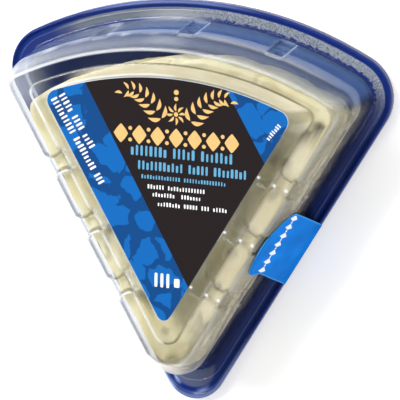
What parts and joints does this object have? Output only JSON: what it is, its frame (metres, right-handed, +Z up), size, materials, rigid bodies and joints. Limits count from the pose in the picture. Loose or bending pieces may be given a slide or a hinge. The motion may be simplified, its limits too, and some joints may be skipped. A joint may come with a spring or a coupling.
{
  "type": "packed blue cheese wedge",
  "caption": "Wedge of blue cheese shut in a clear moulded dome on a blue base, with a label on top and a seal tab over the rim.",
  "frame": {"origin": "bottom centre of the bounding box, under the middle of the pack as it lies with its label up", "axes": "+Z up through the label, +Y towards the curved side, the tip towards -Y, +X towards the straight side that carries the seal tab"},
  "size_m": [0.116, 0.1198, 0.031],
  "materials": {
    "blue_sheet": "glossy blue moulded sheet",
    "clear_sheet": "clear moulded sheet",
    "cheese": "moist crumbly blue cheese; leather stands in for food",
    "label_print": "satin printed label",
    "tab_print": "satin printed seal"
  },
  "bodies": {
    "root": {"base_tray": "blue_sheet", "clear_dome": "clear_sheet", "cheese_wedge": "cheese", "label": "label_print", "seal_tab": "tab_print"}
  },
  "joints": []
}
